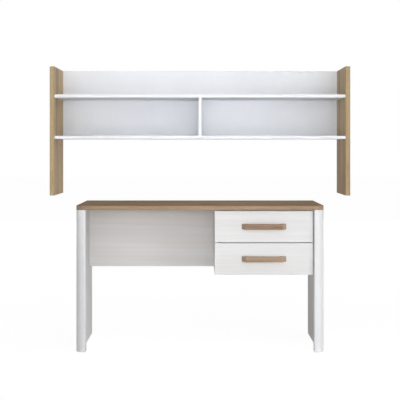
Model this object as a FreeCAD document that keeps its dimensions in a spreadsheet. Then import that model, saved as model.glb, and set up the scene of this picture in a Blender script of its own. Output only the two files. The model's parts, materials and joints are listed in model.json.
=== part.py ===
import FreeCAD, Part
import math
import os
import re
import Sketcher

# Student desk with two drawers, and the wider shelf unit that hangs on the wall above it.
# The frame has +X to the right, +Y towards the wall and +Z up. Its origin lies on the floor,
# under the middle of the whole outline.

# Driving sizes in millimetres
SIZES = {
    # Desk carcass
    "desk_width": 1255,
    "desk_depth": 520,
    "desk_height": 740,
    "top_thickness": 22,
    "side_thickness": 28,
    "corner_round": 43,
    "post_front_flat": 7.5,
    "post_side_flat": 2,
    "edge_break": 0.8,
    "modesty_rear_gap": 117,
    "modesty_thickness": 18,
    "modesty_height": 328,
    # Floor glides
    "glide_diameter": 20,
    "glide_height": 2,
    "glide_bevel": 1,
    "glide_inset": 40,
    "glide_nail_diameter": 2.5,
    "glide_nail_length": 16,
    # Drawer case
    "case_thickness": 16,
    "case_rear_gap": 31,
    "case_back_thickness": 3,
    "case_front_gap": 1,
    "spacer_height": 60,
    # Drawer fronts and boxes
    "front_width": 497.5,
    "front_height": 160,
    "front_thickness": 18,
    "front_recess": 20,
    "front_gap": 4,
    "front_post_gap": 5,
    "box_thickness": 16,
    "box_height": 110,
    "box_rear_gap": 46,
    "box_lift": 24,
    "box_bottom_thickness": 3,
    "groove_lift": 10,
    "groove_depth": 6,
    "groove_clearance": 0.2,
    # Drawer handles
    "handle_length": 228,
    "handle_height": 28,
    "handle_projection": 30,
    "handle_bar": 14,
    "handle_end_slope": 20,
    "handle_foot": 30,
    "handle_inner_slope": 10,
    "handle_round": 2,
    "handle_screw_inset": 19,
    "handle_screw_bite": 13,
    # Ball runners
    "rail_rear_gap": 48,
    "rail_height": 35,
    "rail_steel": 1.2,
    "rail_flange": 10.5,
    "rail_space": 12.7,
    "rail_setback": 2,
    "drawer_flange_start": 5,
    "ball_diameter": 3.5,
    "ball_clearance": 0.25,
    "ball_line": 7.6,
    "ball_pitch": 15,
    "cage_length": 100,
    "cage_steel": 0.8,
    "cage_start": 3.4,
    "cage_reach": 9.6,
    "rail_screw_inset": 40,
    # Fasteners
    "dowel_diameter": 8,
    "dowel_length": 32,
    "dowel_seat": 11,
    "cam_diameter": 15,
    "cam_depth": 12.5,
    "cam_axis_depth": 8,
    "cam_offset": 34,
    "cam_recess_diameter": 5,
    "cam_recess_depth": 2,
    "bolt_diameter": 6,
    "bolt_seat": 11,
    "joint_inset": 60,
    "joint_pitch": 32,
    "screw_diameter": 4,
    "screw_head": 8,
    "screw_head_height": 2.5,
    "screw_bite": 12,
    "small_screw_diameter": 3.5,
    "small_screw_head": 7,
    "small_screw_head_height": 1.4,
    "small_screw_length": 14,
    "fastener_clearance": 0.15,
    "hole_lead": 1,
    # Hutch
    "hutch_width": 1570,
    "hutch_depth": 335,
    "hutch_height": 675,
    "hutch_gap": 43,
    "hutch_side_thickness": 25,
    "shelf_thickness": 16,
    "top_bay_height": 147,
    "middle_bay_height": 200,
    "hutch_back_thickness": 8,
    "back_screw_length": 30,
    "back_screw_inset": 120,
    # Keyhole hangers
    "hanger_width": 19,
    "hanger_height": 70,
    "hanger_thickness": 2,
    "hanger_drop": 60,
    "hanger_screw_inset": 9,
    "hanger_pocket_depth": 12,
    "hanger_pocket_height": 30,
    "keyhole_lift": 27,
    "keyhole_head": 9,
    "keyhole_slot": 5,
    "keyhole_rise": 14,
}

# Planes and distances that follow from the driving sizes
PLACES = {
    "handle_overhang": "handle_projection - front_recess",
    "desk_front": "(handle_overhang - desk_depth) / 2",
    "desk_back": "desk_front + desk_depth",
    "half_desk": "desk_width / 2",
    "post_width": "corner_round + post_front_flat",
    "post_depth": "corner_round + post_side_flat",
    "top_under": "desk_height - top_thickness",
    "side_in": "half_desk - side_thickness",
    "post_in": "half_desk - post_width",
    "post_back": "desk_front + post_depth",
    "modesty_back": "desk_back - modesty_rear_gap",
    "modesty_front": "modesty_back - modesty_thickness",
    "modesty_under": "top_under - modesty_height",
    "front_face": "desk_front + front_recess",
    "front_back": "front_face + front_thickness",
    "case_left": "post_in - front_post_gap - front_width",
    "case_left_in": "case_left + case_thickness",
    "case_right_in": "post_in - case_thickness",
    "case_front": "front_back + case_front_gap",
    "case_rear": "desk_back - case_rear_gap",
    "upper_front_under": "top_under - front_gap - front_height",
    "lower_front_under": "upper_front_under - front_gap - front_height",
    "case_under": "lower_front_under",
    "box_left": "case_left_in + rail_space",
    "box_right": "case_right_in - rail_space",
    "box_rear": "case_rear - box_rear_gap",
    "rail_front": "case_front + rail_setback",
    "rail_rear": "case_rear - rail_rear_gap",
    "ball_gap": "ball_diameter + 2 * ball_clearance",
    "ball_height": "rail_height / 2 - rail_steel - ball_gap / 2",
    "cage_front": "(rail_front + rail_rear - cage_length) / 2",
    "handle_left": "case_left + (front_width - handle_length) / 2",
    "half_hutch": "hutch_width / 2",
    "hutch_side_in": "half_hutch - hutch_side_thickness",
    "hutch_front": "desk_back - hutch_depth",
    "hutch_under": "desk_height + hutch_gap",
    "hutch_top": "hutch_under + hutch_height",
    "upper_shelf_top": "hutch_top - top_bay_height",
    "upper_shelf_under": "upper_shelf_top - shelf_thickness",
    "lower_shelf_top": "upper_shelf_under - middle_bay_height",
    "lower_shelf_under": "lower_shelf_top - shelf_thickness",
    "shelf_back": "desk_back - hutch_back_thickness",
    "hanger_top": "hutch_top - hanger_drop",
    "hanger_low": "hanger_top - hanger_height",
    "hanger_front": "desk_back - hanger_thickness",
    "keyhole_centre": "hanger_low + keyhole_lift",
}

BALLS_PER_ROW = 6

UP = FreeCAD.Vector(0, 0, 1)
DIRECTIONS = {
    "+x": FreeCAD.Vector(1, 0, 0),
    "-x": FreeCAD.Vector(-1, 0, 0),
    "+y": FreeCAD.Vector(0, 1, 0),
    "-y": FreeCAD.Vector(0, -1, 0),
    "+z": FreeCAD.Vector(0, 0, 1),
    "-z": FreeCAD.Vector(0, 0, -1),
}
OPPOSITE = {"+x": "-x", "-x": "+x", "+y": "-y", "-y": "+y", "+z": "-z", "-z": "+z"}

doc = FreeCAD.newDocument("student_desk")
sheet = doc.addObject("Spreadsheet::Sheet", "sizes")
for row, (alias, value) in enumerate(SIZES.items(), 1):
    sheet.set(f"A{row}", alias)
    sheet.set(f"B{row}", str(value))
    sheet.setAlias(f"B{row}", alias)
doc.recompute()

# Undrilled pieces, the holes that each one gets, and loose pieces that share a node
blanks = {}
holes = {}
groups = {}


def formula(text):
    """A formula in plain names, written with the sheet's cells."""
    def spelled(match):
        word = match.group()
        if word in PLACES:
            return f"({formula(PLACES[word])})"
        return f"sizes.{word}" if word in SIZES else word
    return re.sub(r"[A-Za-z_]+", spelled, text)


def number(text):
    """The present value of a formula."""
    return float(sheet.evalExpression(formula(text)))


def bind(thing, name, text):
    thing.setExpression(name, formula(text))


def place(thing, point):
    for axis, text in zip("xyz", point):
        bind(thing, f"Placement.Base.{axis}", text)


def shift(point, direction, distance):
    """The point, moved a distance in one of the six directions."""
    moved = list(point)
    axis = "xyz".index(direction[1])
    moved[axis] = f"{moved[axis]} {direction[0]} ({distance})"
    return tuple(moved)


def mirrored(side, inner, outer):
    """Low and high X of a span that lies on the left or the right of the middle."""
    if side == "left":
        return f"-({outer})", f"-({inner})"
    return inner, outer


def block(label, low, high):
    """A plain box between two corners."""
    box = doc.addObject("Part::Box", label)
    for name, start, end in zip(("Length", "Width", "Height"), low, high):
        bind(box, name, f"({end}) - ({start})")
    place(box, low)
    return box


def rod(label, start, direction, length, diameter):
    """A round bar that starts at a point and runs in one of the six directions."""
    bar = doc.addObject("Part::Cylinder", label)
    bar.Placement = FreeCAD.Placement(FreeCAD.Vector(), FreeCAD.Rotation(UP, DIRECTIONS[direction]))
    bind(bar, "Radius", f"({diameter}) / 2")
    bind(bar, "Height", length)
    place(bar, start)
    return bar


def fused(label, pieces):
    """One solid, or one cutting tool, from several."""
    if len(pieces) == 1:
        return pieces[0]
    whole = doc.addObject("Part::MultiFuse", label)
    whole.Shapes = pieces
    return whole


def cut(label, base, tools):
    result = doc.addObject("Part::Cut", label)
    result.Base = base
    result.Tool = fused(f"{label}_tools", tools)
    return result


def bore(tool, *pieces):
    """Marks a cutting tool for the pieces that it goes through."""
    for piece in pieces:
        holes.setdefault(piece, []).append(tool)


def loose(node, piece):
    """Adds a solid to a node that holds several alike."""
    groups.setdefault(node, []).append(piece)


def soften(body, last, kind, name, size):
    """Breaks or rounds every edge of a body's last feature."""
    edges = body.newObject(kind, f"{body.Label}_edges")
    edges.Base = (last, [""])
    edges.UseAllEdges = True
    bind(edges, name, size)


def board(node, low, high):
    """A board between two corners, with its edges broken."""
    body = doc.addObject("PartDesign::Body", f"{node}_blank")
    panel = body.newObject("PartDesign::AdditiveBox", f"{node}_panel")
    for name, start, end in zip(("Length", "Width", "Height"), low, high):
        bind(panel, name, f"({end}) - ({start})")
    place(body, low)
    soften(body, panel, "PartDesign::Chamfer", "Size", "edge_break")
    blanks[node] = body


def sheet_board(node, low, high):
    """A thin board with plain edges."""
    blanks[node] = block(f"{node}_blank", low, high)


def outline_body(node, corner, points, thickness, rounds=None):
    """A body raised from an outline whose corners are all held by formulas, with some sides quarter rounds."""
    rounds = rounds or {}
    body = doc.addObject("PartDesign::Body", f"{node}_blank")
    sketch = body.newObject("Sketcher::SketchObject", f"{node}_outline")
    plane = next(item for item in body.Origin.OriginFeatures if item.Role == "XY_Plane")
    sketch.AttachmentSupport = [(plane, "")]
    sketch.MapMode = "FlatFace"
    corners = [FreeCAD.Vector(number(x), number(y), 0) for x, y in points]
    for index, (start, end) in enumerate(zip(corners, corners[1:] + corners[:1])):
        if index in rounds:
            centre = FreeCAD.Vector(*(number(text) for text in rounds[index]), 0)
            reach = start - centre
            angle = math.atan2(reach.y, reach.x)
            circle = Part.Circle(centre, UP, reach.Length)
            sketch.addGeometry(Part.ArcOfCircle(circle, angle, angle + math.pi / 2))
        else:
            sketch.addGeometry(Part.LineSegment(start, end))
    for index, point in enumerate(points):
        following = (index + 1) % len(points)
        sketch.addConstraint(Sketcher.Constraint("Coincident", index, 2, following, 1))
        for kind, text in zip(("DistanceX", "DistanceY"), point):
            held = Sketcher.Constraint(kind, -1, 1, index, 1, number(text))
            place_in_list = sketch.addConstraint(held)
            bind(sketch, f"Constraints[{place_in_list}]", text)
    for index in rounds:
        place_in_list = sketch.addConstraint(Sketcher.Constraint("Radius", index, number("corner_round")))
        bind(sketch, f"Constraints[{place_in_list}]", "corner_round")
    pad = body.newObject("PartDesign::Pad", f"{node}_pad")
    pad.Profile = sketch
    bind(pad, "Length", thickness)
    place(body, corner)
    blanks[node] = body
    return body, pad


# Fasteners, each with the holes that it needs


def dowel(node, point, direction, face_board, edge_board):
    """A dowel across a joint, seated in a board's face and running into another's edge."""
    start = shift(point, OPPOSITE[direction], "dowel_seat")
    loose(node, rod(f"{node}_pin", start, direction, "dowel_length", "dowel_diameter"))
    hole_start = shift(start, OPPOSITE[direction], "fastener_clearance")
    tool = rod(f"{node}_hole", hole_start, direction, "dowel_length + 2 * fastener_clearance",
               "dowel_diameter + 2 * fastener_clearance")
    bore(tool, face_board, edge_board)


def cam(kit, point, direction, mouth, face_board, edge_board):
    """A cam bolt in a board's face and the cam disc that draws it into another's edge."""
    bolt_start = shift(point, OPPOSITE[direction], "bolt_seat")
    bolt = rod(f"{kit}_bolt", bolt_start, direction, "bolt_seat + cam_offset", "bolt_diameter")
    loose(f"{kit}_cam_bolts", bolt)
    hole_start = shift(bolt_start, OPPOSITE[direction], "fastener_clearance")
    bolt_hole = rod(f"{kit}_bolt_hole", hole_start, direction, "bolt_seat + cam_offset + cam_diameter / 4",
                    "bolt_diameter + 2 * fastener_clearance")
    bore(bolt_hole, face_board, edge_board)
    disc_start = shift(shift(point, direction, "cam_offset"), OPPOSITE[mouth], "cam_axis_depth")
    disc = rod(f"{kit}_disc", disc_start, mouth, "cam_depth", "cam_diameter")
    recess_start = shift(disc_start, OPPOSITE[mouth], "hole_lead")
    recess = rod(f"{kit}_recess", recess_start, mouth, "cam_recess_depth + hole_lead", "cam_recess_diameter")
    loose(f"{kit}_cam_discs", cut(f"{kit}_cam", disc, [bolt_hole, recess]))
    disc_hole = rod(f"{kit}_disc_hole", recess_start, mouth, "cam_depth + hole_lead + fastener_clearance",
                    "cam_diameter + 2 * fastener_clearance")
    bore(disc_hole, edge_board)


def screw(node, surface, direction, length, boards, size="screw", sunk=False):
    """A screw with a round head, standing on a surface or sunk flush into its first board."""
    head, height = f"{size}_head", f"{size}_head_height"
    seat = shift(surface, direction, height) if sunk else surface
    cap = rod(f"{node}_cap", seat, OPPOSITE[direction], height, head)
    shank = rod(f"{node}_shank", seat, direction, length, f"{size}_diameter")
    loose(node, fused(f"{node}_whole", [cap, shank]))
    hole_start = shift(seat, OPPOSITE[direction], "hole_lead")
    tool = rod(f"{node}_hole", hole_start, direction, f"{length} + hole_lead + fastener_clearance",
               f"{size}_diameter + 2 * fastener_clearance")
    bore(tool, *boards)
    if sunk:
        sink_start = shift(surface, OPPOSITE[direction], "hole_lead")
        sink = rod(f"{node}_sink", sink_start, direction, f"{height} + hole_lead",
                   f"{head} + 2 * fastener_clearance")
        bore(sink, boards[0])


def cam_and_dowel_rows(kit, line, run, ends, direction, mouth, face_board, edge_board):
    """A joint with a cam near each end of a run and a dowel beside each cam."""
    axis = "xyz".index(run)
    for end, sign in zip(ends, "+-"):
        for make, inset in (("cam", "joint_inset"), ("dowel", "joint_inset + joint_pitch")):
            point = list(line)
            point[axis] = f"{end} {sign} ({inset})"
            if make == "cam":
                cam(kit, point, direction, mouth, face_board, edge_board)
            else:
                dowel(f"{kit}_dowels", point, direction, face_board, edge_board)


# Desk carcass


def desk_top():
    points = [
        ("corner_round", "0"),
        ("desk_width - corner_round", "0"),
        ("desk_width", "corner_round"),
        ("desk_width", "desk_depth"),
        ("0", "desk_depth"),
        ("0", "corner_round"),
    ]
    rounds = {1: ("desk_width - corner_round", "corner_round"), 5: ("corner_round", "corner_round")}
    corner = ("-half_desk", "desk_front", "top_under")
    body, pad = outline_body("desk_top", corner, points, "top_thickness", rounds)
    soften(body, pad, "PartDesign::Chamfer", "Size", "edge_break")


def desk_end(side):
    """A front post, the panel behind it, the dowels between them and their two glides."""
    post, panel = f"{side}_front_post", f"{side}_side_panel"
    outlines = {
        "left": [("corner_round", "0"), ("post_width", "0"), ("post_width", "post_depth"),
                 ("0", "post_depth"), ("0", "corner_round")],
        "right": [("0", "0"), ("post_front_flat", "0"), ("post_width", "corner_round"),
                  ("post_width", "post_depth"), ("0", "post_depth")],
    }
    rounds = {"left": {4: ("corner_round", "corner_round")}, "right": {1: ("post_front_flat", "corner_round")}}
    post_low, post_high = mirrored(side, "post_in", "half_desk")
    corner = (post_low, "desk_front", "glide_height")
    body, pad = outline_body(post, corner, outlines[side], "top_under - glide_height", rounds[side])
    soften(body, pad, "PartDesign::Chamfer", "Size", "edge_break")

    panel_low, panel_high = mirrored(side, "side_in", "half_desk")
    board(panel, (panel_low, "post_back", "glide_height"), (panel_high, "desk_back", "top_under"))

    outward = "-x" if side == "left" else "+x"
    inner_face = panel_high if side == "left" else panel_low
    line = shift((inner_face, "0", "top_under"), outward, "cam_axis_depth")
    cam_and_dowel_rows("desk", line, "y", ("post_back", "desk_back"), "-z", outward, "desk_top", panel)

    panel_middle = f"(({panel_low}) + ({panel_high})) / 2"
    post_middle = f"(({post_low}) + ({post_high})) / 2"
    dowel("desk_dowels", (post_middle, "desk_front + post_depth / 2", "top_under"), "-z", "desk_top", post)
    for height in ("glide_height + 2 * joint_inset", "top_under / 2", "top_under - 2 * joint_inset"):
        dowel("desk_dowels", (panel_middle, "post_back", height), "+y", post, panel)
    glide((post_middle, "desk_front + post_depth / 2", "0"), post)
    glide((panel_middle, "desk_back - glide_inset", "0"), panel)


def glide(point, piece):
    """A round glide whose nail is driven into the piece above it."""
    pad = doc.addObject("Part::Cone", "glide_pad")
    bind(pad, "Radius1", "glide_diameter / 2 - glide_bevel")
    bind(pad, "Radius2", "glide_diameter / 2")
    bind(pad, "Height", "glide_height")
    place(pad, point)
    top = shift(point, "+z", "glide_height")
    nail = rod("glide_nail", top, "+z", "glide_nail_length", "glide_nail_diameter")
    loose("floor_glides", fused("glide", [pad, nail]))
    tool = rod("glide_hole", shift(top, "-z", "hole_lead"), "+z",
               "glide_nail_length + hole_lead + fastener_clearance",
               "glide_nail_diameter + 2 * fastener_clearance")
    bore(tool, piece)


def modesty_panel():
    board("modesty_panel", ("-side_in", "modesty_front", "modesty_under"),
          ("case_left", "modesty_back", "top_under"))
    ends = ("modesty_under", "top_under")
    axis_line = "modesty_back - cam_axis_depth"
    cam_and_dowel_rows("desk", ("-side_in", axis_line, "0"), "z", ends, "+x", "-y",
                       "left_side_panel", "modesty_panel")
    cam_and_dowel_rows("desk", ("case_left", axis_line, "0"), "z", ends, "-x", "-y",
                       "pedestal_left_side", "modesty_panel")


def drawer_case():
    board("pedestal_left_side", ("case_left", "case_front", "case_under"),
          ("case_left_in", "case_rear", "top_under"))
    board("pedestal_right_side", ("case_right_in", "case_front", "case_under"),
          ("post_in", "case_rear", "top_under"))
    board("pedestal_bottom", ("case_left_in", "case_front", "case_under"),
          ("case_right_in", "case_rear", "case_under + case_thickness"))
    sheet_board("pedestal_back", ("case_left", "case_rear", "case_under"),
                ("post_in", "case_rear + case_back_thickness", "top_under"))

    ends = ("case_front", "case_rear")
    cam_and_dowel_rows("desk", ("case_left_in - cam_axis_depth", "0", "top_under"), "y", ends, "-z", "-x",
                       "desk_top", "pedestal_left_side")
    cam_and_dowel_rows("desk", ("case_right_in + cam_axis_depth", "0", "top_under"), "y", ends, "-z", "+x",
                       "desk_top", "pedestal_right_side")
    bolt_line = "case_under + cam_axis_depth"
    cam_and_dowel_rows("desk", ("case_left_in", "0", bolt_line), "y", ends, "+x", "+z",
                       "pedestal_left_side", "pedestal_bottom")
    cam_and_dowel_rows("desk", ("case_right_in", "0", bolt_line), "y", ends, "-x", "+z",
                       "pedestal_right_side", "pedestal_bottom")

    for x in ("case_left + case_thickness / 2", "post_in - case_thickness / 2"):
        side = "pedestal_left_side" if x.startswith("case_left") else "pedestal_right_side"
        for z in ("case_under + joint_inset", "top_under - joint_inset"):
            screw("back_panel_screws", (x, "case_rear + case_back_thickness", z), "-y", "small_screw_length",
                  ("pedestal_back", side), size="small_screw")


def case_spacers():
    """Two battens between the drawer case and the right side panel, and their screws."""
    length = "case_thickness + side_in - post_in + screw_bite"
    for name, low in (("lower", "case_under"), ("upper", "top_under - spacer_height")):
        node = f"{name}_case_spacer"
        board(node, ("post_in", "post_back", low), ("side_in", "case_rear", f"{low} + spacer_height"))
        for y in ("post_back + 2 * joint_inset", "case_rear - 2 * joint_inset"):
            screw("spacer_screws", ("case_right_in", y, f"{low} + spacer_height / 2"), "+x", length,
                  ("pedestal_right_side", node, "right_side_panel"), sunk=True)


# Drawers


def drawer(level):
    """One drawer: its front, box, handle and dowels."""
    under = f"{level}_front_under"
    low, high = f"{under} + box_lift", f"{under} + box_lift + box_height"
    bottom_low = f"{low} + groove_lift"
    bottom_high = f"{bottom_low} + box_bottom_thickness"
    front, back = f"{level}_drawer_front", f"{level}_drawer_back"
    left, right = f"{level}_drawer_left_side", f"{level}_drawer_right_side"
    board(front, ("case_left", "front_face", under),
          ("case_left + front_width", "front_back", f"{under} + front_height"))
    board(left, ("box_left", "front_back", low), ("box_left + box_thickness", "box_rear", high))
    board(right, ("box_right - box_thickness", "front_back", low), ("box_right", "box_rear", high))
    board(back, ("box_left + box_thickness", "box_rear - box_thickness", bottom_high),
          ("box_right - box_thickness", "box_rear", high))

    groove = "box_thickness - groove_depth"
    bottom_corner = (f"box_left + {groove}", "front_back - groove_depth", bottom_low)
    bottom_far = (f"box_right - ({groove})", "box_rear", bottom_high)
    sheet_board(f"{level}_drawer_bottom", bottom_corner, bottom_far)
    spare = "groove_clearance"
    groove_low = tuple(f"{text} - {spare}" for text in bottom_corner)
    groove_far = (f"{bottom_far[0]} + {spare}", "box_rear + hole_lead", f"{bottom_high} + {spare}")
    bore(block(f"{level}_groove", groove_low, groove_far), front, left, right)

    kit = f"{level}_drawer_dowels"
    for height in (f"{low} + box_height / 4 + groove_lift", f"{high} - box_height / 4"):
        dowel(kit, ("box_left + box_thickness / 2", "front_back", height), "+y", front, left)
        dowel(kit, ("box_right - box_thickness / 2", "front_back", height), "+y", front, right)
        rear_line = "box_rear - box_thickness / 2"
        dowel(kit, ("box_left + box_thickness", rear_line, height), "+x", left, back)
        dowel(kit, ("box_right - box_thickness", rear_line, height), "-x", right, back)
    handle(level, f"{under} + front_height / 2")
    for side in ("left", "right"):
        runner(level, side, f"{low} + box_height / 2")


def handle(level, middle):
    """A bridge handle, sloped at its ends, and the two screws that hold it."""
    node = f"{level}_drawer_handle"
    inner_rise = "handle_foot + handle_inner_slope"
    points = [
        ("handle_end_slope", "0"),
        ("handle_length - handle_end_slope", "0"),
        ("handle_length", "handle_projection"),
        ("handle_length - handle_foot", "handle_projection"),
        (f"handle_length - ({inner_rise})", "handle_bar"),
        (inner_rise, "handle_bar"),
        ("handle_foot", "handle_projection"),
        ("0", "handle_projection"),
    ]
    corner = ("handle_left", "front_face - handle_projection", f"{middle} - handle_height / 2")
    body, pad = outline_body(node, corner, points, "handle_height")
    soften(body, pad, "PartDesign::Fillet", "Radius", "handle_round")
    for x in ("handle_left + handle_screw_inset", "handle_left + handle_length - handle_screw_inset"):
        screw(f"{level}_handle_screws", (x, "front_back", middle), "-y",
              "front_thickness + handle_screw_bite", (f"{level}_drawer_front", node))


# Ball runners


def across(side, near, far):
    """Low and high X of a span measured from the case wall on one side towards the drawer."""
    if side == "left":
        return f"case_left_in + {near}", f"case_left_in + {far}"
    return f"case_right_in - ({far})", f"case_right_in - ({near})"


def channel(label, side, span, opens, half_height, steel, lengthwise, middle):
    """A channel bent from strip, open towards the drawer or towards the case wall."""
    near, far = span
    start, end = lengthwise
    low_x, high_x = across(side, near, far)
    low = (low_x, start, f"{middle} - ({half_height})")
    high = (high_x, end, f"{middle} + {half_height}")
    if opens == "drawer":
        hollow_low_x, hollow_high_x = across(side, f"{near} + {steel}", f"{far} + hole_lead")
    else:
        hollow_low_x, hollow_high_x = across(side, f"{near} - hole_lead", f"{far} - {steel}")
    hollow_low = (hollow_low_x, f"{start} - hole_lead", f"{middle} - ({half_height}) + {steel}")
    hollow_high = (hollow_high_x, f"{end} + hole_lead", f"{middle} + {half_height} - {steel}")
    strip = block(f"{label}_strip", low, high)
    return cut(f"{label}_blank", strip, [block(f"{label}_hollow", hollow_low, hollow_high)])


def runner(level, side, middle):
    """The case member, the drawer member, the ball cage between them, and their screws."""
    case_rail, drawer_rail = f"{level}_{side}_case_rail", f"{level}_{side}_drawer_rail"
    whole_length = ("rail_front", "rail_rear")
    blanks[case_rail] = channel(case_rail, side, ("0", "rail_flange"), "drawer", "rail_height / 2",
                                "rail_steel", whole_length, middle)
    blanks[drawer_rail] = channel(drawer_rail, side, ("drawer_flange_start", "rail_space"), "wall",
                                  "rail_height / 2 - rail_steel - ball_gap", "rail_steel", whole_length, middle)
    ball_cage(level, side, middle)

    to_drawer = "+x" if side == "left" else "-x"
    case_side, box_side = f"pedestal_{side}_side", f"{level}_drawer_{side}_side"
    case_face = across(side, "rail_steel", "rail_steel")[0]
    drawer_face = across(side, "rail_space - rail_steel", "rail_space - rail_steel")[0]
    for y in ("rail_front + rail_screw_inset", "rail_rear - rail_screw_inset"):
        screw("case_rail_screws", (case_face, y, middle), OPPOSITE[to_drawer], "small_screw_length",
              (case_rail, case_side), size="small_screw")
        screw(f"{level}_rail_screws", (drawer_face, y, middle), to_drawer, "small_screw_length",
              (drawer_rail, box_side), size="small_screw")


def ball_cage(level, side, middle):
    """A retainer strip and the balls that sit loose in its holes."""
    node = f"{level}_ball_cages"
    ends = ("cage_front", "cage_front + cage_length")
    strip = channel(node, side, ("cage_start", "cage_reach"), "drawer", "ball_height + cage_steel / 2",
                    "cage_steel", ends, middle)
    x = across(side, "ball_line", "ball_line")[0]
    seats = []
    for index in range(BALLS_PER_ROW):
        y = f"cage_front + cage_length / 2 + {index - (BALLS_PER_ROW - 1) / 2} * ball_pitch"
        foot = shift((x, y, middle), "-z", "rail_height / 2")
        seats.append(rod(f"{node}_seat", foot, "+z", "rail_height",
                         "ball_diameter + 2 * fastener_clearance"))
        for row in ("+z", "-z"):
            ball = doc.addObject("Part::Sphere", f"{node}_ball")
            bind(ball, "Radius", "ball_diameter / 2")
            place(ball, shift((x, y, middle), row, "ball_height"))
            loose(node, ball)
    loose(node, cut(f"{node}_retainer", strip, seats))


# Hutch


def hutch():
    lower, upper = "hutch_lower_shelf", "hutch_upper_shelf"
    for side in ("left", "right"):
        low_x, high_x = mirrored(side, "hutch_side_in", "half_hutch")
        board(f"hutch_{side}_side", (low_x, "hutch_front", "hutch_under"), (high_x, "desk_back", "hutch_top"))
        hanger(side, f"(({low_x}) + ({high_x})) / 2")
    for shelf, under, top in ((lower, "lower_shelf_under", "lower_shelf_top"),
                              (upper, "upper_shelf_under", "upper_shelf_top")):
        board(shelf, ("-hutch_side_in", "hutch_front", under), ("hutch_side_in", "shelf_back", top))
        shelf_joints(shelf, under)
    board("hutch_divider", ("-shelf_thickness / 2", "hutch_front", "lower_shelf_top"),
          ("shelf_thickness / 2", "shelf_back", "upper_shelf_under"))
    for y in ("hutch_front + joint_inset", "shelf_back - joint_inset"):
        dowel("hutch_dowels", ("0", y, "lower_shelf_top"), "+z", lower, "hutch_divider")
        dowel("hutch_dowels", ("0", y, "upper_shelf_under"), "-z", upper, "hutch_divider")
    board("hutch_back_panel", ("-hutch_side_in", "shelf_back", "lower_shelf_under"),
          ("hutch_side_in", "desk_back", "hutch_top"))


def shelf_joints(shelf, under):
    """Cams and dowels at a shelf's ends, and the screws through the back panel."""
    ends = ("hutch_front", "shelf_back")
    bolt_line = f"{under} + cam_axis_depth"
    cam_and_dowel_rows("hutch", ("-hutch_side_in", "0", bolt_line), "y", ends, "+x", "+z",
                       "hutch_left_side", shelf)
    cam_and_dowel_rows("hutch", ("hutch_side_in", "0", bolt_line), "y", ends, "-x", "+z",
                       "hutch_right_side", shelf)
    for x in ("-hutch_side_in + back_screw_inset", "-back_screw_inset", "back_screw_inset",
              "hutch_side_in - back_screw_inset"):
        screw("back_panel_screws", (x, "desk_back", f"{under} + shelf_thickness / 2"), "-y",
              "back_screw_length", ("hutch_back_panel", shelf), size="small_screw", sunk=True)


def hanger(side, x):
    """A keyhole plate let into the rear edge of an end panel, with room behind for a screw head."""
    node, panel = f"hutch_{side}_hanger", f"hutch_{side}_side"
    plate_low = (f"{x} - hanger_width / 2", "hanger_front", "hanger_low")
    plate_high = (f"{x} + hanger_width / 2", "desk_back", "hanger_top")
    plate = block(f"{node}_plate", plate_low, plate_high)
    behind = "hanger_front - hole_lead"
    head = rod(f"{node}_head", (x, behind, "keyhole_centre"), "+y", "hanger_thickness + 2 * hole_lead",
               "keyhole_head")
    neck = block(f"{node}_neck", (f"{x} - keyhole_slot / 2", behind, "keyhole_centre"),
                 (f"{x} + keyhole_slot / 2", "desk_back + hole_lead", "keyhole_centre + keyhole_rise"))
    neck_end = rod(f"{node}_neck_end", (x, behind, "keyhole_centre + keyhole_rise"), "+y",
                   "hanger_thickness + 2 * hole_lead", "keyhole_slot")
    blanks[node] = cut(f"{node}_blank", plate, [head, neck, neck_end])
    spare = "fastener_clearance"
    recess_low = (f"{plate_low[0]} - {spare}", "hanger_front", f"hanger_low - {spare}")
    recess_high = (f"{plate_high[0]} + {spare}", "desk_back + hole_lead", f"hanger_top + {spare}")
    bore(block(f"{node}_recess", recess_low, recess_high), panel)
    pocket_low = (f"{x} - keyhole_head / 2 - hole_lead", "hanger_front - hanger_pocket_depth",
                  "keyhole_centre - keyhole_head / 2 - hole_lead")
    pocket_high = (f"{x} + keyhole_head / 2 + hole_lead", "desk_back", f"{pocket_low[2]} + hanger_pocket_height")
    bore(block(f"{node}_pocket", pocket_low, pocket_high), panel)
    for z in ("hanger_low + hanger_screw_inset", "hanger_top - hanger_screw_inset"):
        screw("hanger_screws", (x, "desk_back", z), "-y", "back_screw_length", (node, panel),
              size="small_screw", sunk=True)


def finished():
    """Every sub-part by its node name, drilled and grouped."""
    parts = {}
    for node, blank in blanks.items():
        if node in holes:
            parts[node] = cut(node, blank, holes[node])
        else:
            parts[node] = blank
    for node, pieces in groups.items():
        parts[node] = doc.addObject("Part::Compound", node)
        parts[node].Links = pieces
    for node, part in parts.items():
        part.Label = node
    return parts


def check(parts):
    """Stops if any object failed or any sub-part has no sound shape."""
    failed = [item.Label for item in doc.Objects if {"Invalid", "Error"} & set(item.State)]
    if failed:
        raise RuntimeError(f"failed: {failed}")
    for node, part in parts.items():
        if part.Shape.isNull() or not part.Shape.isValid() or not part.Shape.Solids:
            raise RuntimeError(f"{node} has no sound shape")


desk_top()
for side in ("left", "right"):
    desk_end(side)
modesty_panel()
drawer_case()
case_spacers()
for level in ("upper", "lower"):
    drawer(level)
hutch()
parts = finished()
doc.recompute()
check(parts)
os.makedirs("parts", exist_ok=True)
for node, part in parts.items():
    part.Shape.exportStep(f"parts/{node}.step")
print(f"{len(parts)} sub-parts, {sum(len(part.Shape.Solids) for part in parts.values())} solids")
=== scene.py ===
"""Student desk with two drawers and a wall-hung hutch: finishes, hardware and a studio stage."""

import json
import math

import bmesh
import bpy
from mathutils import Matrix, Vector

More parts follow.
